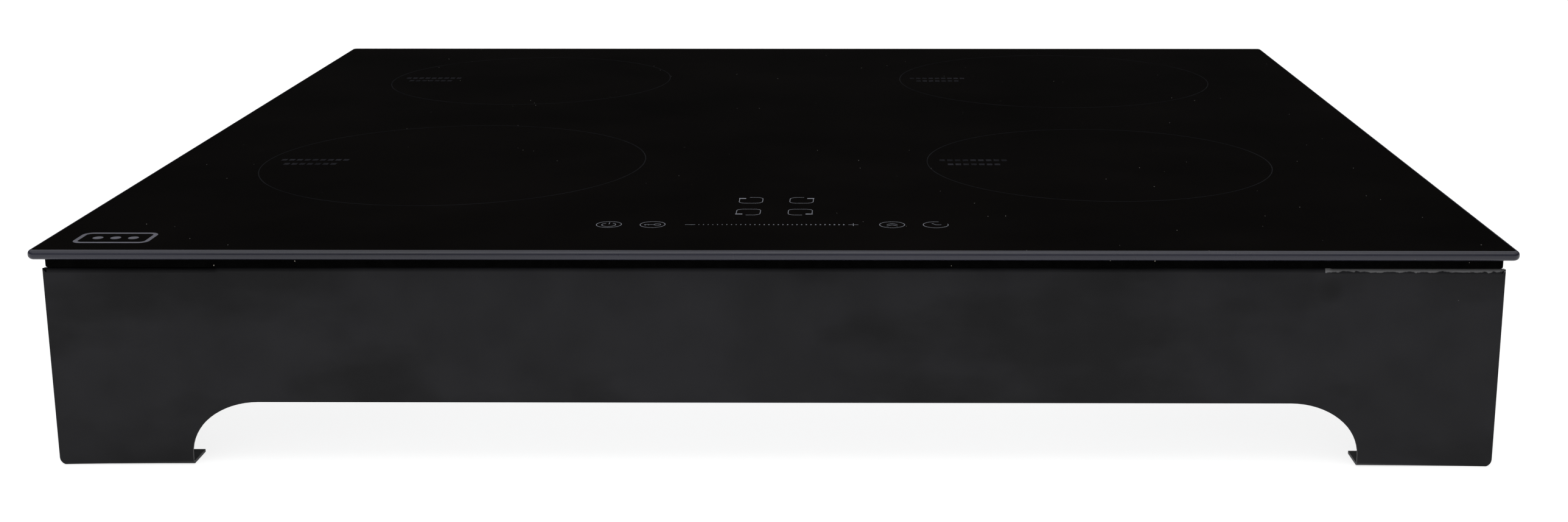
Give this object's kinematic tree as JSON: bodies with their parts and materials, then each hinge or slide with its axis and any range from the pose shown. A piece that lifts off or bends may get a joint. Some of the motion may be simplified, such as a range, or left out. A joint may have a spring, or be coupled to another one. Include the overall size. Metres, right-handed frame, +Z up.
{
  "type": "electric induction cooktop",
  "caption": "Black glass induction hob with ring-marked cooking zones and touch controls, resting in a folded sheet-metal stand with arched cut-outs between its legs.",
  "frame": {"origin": "on the surface that the stand rests on, under the middle of the glass", "axes": "+X to the user's right, +Y away from the user towards the rear, +Z up"},
  "size_m": [0.59, 0.52, 0.0914],
  "materials": {
    "black_glass": "gloss black glass-ceramic, pencil-ground edge",
    "powder_coat": "satin black powder coat on folded sheet steel",
    "pan_steel": "hot-dip galvanised sheet with a faint spangle",
    "glass_print": "fired ceramic ink, pale grey",
    "foam": "closed-cell foam, matt",
    "aluminium": "mill finish",
    "copper_wire": "enamelled stranded wire",
    "ferrite": "sintered, matt dark grey",
    "mica": "pressed mica sheet",
    "circuit_board": "green solder resist",
    "black_plastic": "fine moulded texture",
    "white_plastic": "moulded heat-resistant plastic",
    "capacitor": "film capacitor cases",
    "zinc_steel": "zinc plated",
    "sensor_cap": "matt ceramic",
    "display": "dark smoked display lens"
  },
  "bodies": {
    "cooktop": {"bottom_pan": "pan_steel", "cable_gland": "black_plastic", "capacitor_bank_left": "capacitor", "capacitor_bank_right": "capacitor", "clamp_screw_front_left": "zinc_steel", "clamp_screw_front_right": "zinc_steel", "clamp_screw_rear_left": "zinc_steel", "clamp_screw_rear_right": "zinc_steel", "coil_carrier_front_left": "white_plastic", "coil_carrier_front_right": "white_plastic", "coil_carrier_rear_left": "white_plastic", "coil_carrier_rear_right": "white_plastic", "coil_tray_left": "aluminium", "coil_tray_right": "aluminium", "coil_winding_front_left": "copper_wire", "coil_winding_front_right": "copper_wire", "coil_winding_rear_left": "copper_wire", "coil_winding_rear_right": "copper_wire", "fan_housing_left": "black_plastic", "fan_housing_right": "black_plastic", "ferrite_star_front_left": "ferrite", "ferrite_star_front_right": "ferrite", "ferrite_star_rear_left": "ferrite", "ferrite_star_rear_right": "ferrite", "filter_board": "circuit_board", "filter_choke": "copper_wire", "foam_seal": "foam", "glass_top": "black_glass", "heat_sink_left": "aluminium", "heat_sink_right": "aluminium", "hob_clamp_front_left": "zinc_steel", "hob_clamp_front_right": "zinc_steel", "hob_clamp_rear_left": "zinc_steel", "hob_clamp_rear_right": "zinc_steel", "led_display": "display", "mica_disc_front_left": "mica", "mica_disc_front_right": "mica", "mica_disc_rear_left": "mica", "mica_disc_rear_right": "mica", "power_board_left": "circuit_board", "power_board_right": "circuit_board", "sensor_spring_front_left": "zinc_steel", "sensor_spring_front_right": "zinc_steel", "sensor_spring_rear_left": "zinc_steel", "sensor_spring_rear_right": "zinc_steel", "stand_front": "powder_coat", "stand_left": "powder_coat", "stand_rear": "powder_coat", "stand_right": "powder_coat", "terminal_block": "white_plastic", "touch_board": "circuit_board", "touch_board_carrier": "black_plastic", "touch_contact_strip": "foam"},
    "fan_left": {"fan_rotor_left": "black_plastic"},
    "fan_right": {"fan_rotor_right": "black_plastic"},
    "terminal_door": {"terminal_cover": "black_plastic"},
    "sensor_front_left": {"temperature_sensor_front_left": "sensor_cap"},
    "sensor_front_right": {"temperature_sensor_front_right": "sensor_cap"},
    "sensor_rear_left": {"temperature_sensor_rear_left": "sensor_cap"},
    "sensor_rear_right": {"temperature_sensor_rear_right": "sensor_cap"}
  },
  "joints": [
    {"name": "fan_left_spin", "type": "hinge", "parent": "cooktop", "child": "fan_left", "pos_m": [-0.19, 0.168, 0.05], "axis": [0, 0, 1], "continuous": true},
    {"name": "fan_right_spin", "type": "hinge", "parent": "cooktop", "child": "fan_right", "pos_m": [0.19, 0.168, 0.05], "axis": [0, 0, 1], "continuous": true},
    {"name": "sensor_front_left_float", "type": "slide", "parent": "cooktop", "child": "sensor_front_left", "axis": [0, 0, 1], "range_m": [-0.003, 0], "stiffness_N_per_m": 300, "springref_m": 0.002, "deforming": ["sensor_spring_front_left"]},
    {"name": "sensor_front_right_float", "type": "slide", "parent": "cooktop", "child": "sensor_front_right", "axis": [0, 0, 1], "range_m": [-0.003, 0], "stiffness_N_per_m": 300, "springref_m": 0.002, "deforming": ["sensor_spring_front_right"]},
    {"name": "sensor_rear_left_float", "type": "slide", "parent": "cooktop", "child": "sensor_rear_left", "axis": [0, 0, 1], "range_m": [-0.003, 0], "stiffness_N_per_m": 300, "springref_m": 0.002, "deforming": ["sensor_spring_rear_left"]},
    {"name": "sensor_rear_right_float", "type": "slide", "parent": "cooktop", "child": "sensor_rear_right", "axis": [0, 0, 1], "range_m": [-0.003, 0], "stiffness_N_per_m": 300, "springref_m": 0.002, "deforming": ["sensor_spring_rear_right"]},
    {"name": "terminal_cover_swing", "type": "hinge", "parent": "cooktop", "child": "terminal_door", "pos_m": [0.06, 0.203, 0.0338], "axis": [-1, 0, 0], "range_deg": [0, 90]}
  ]
}
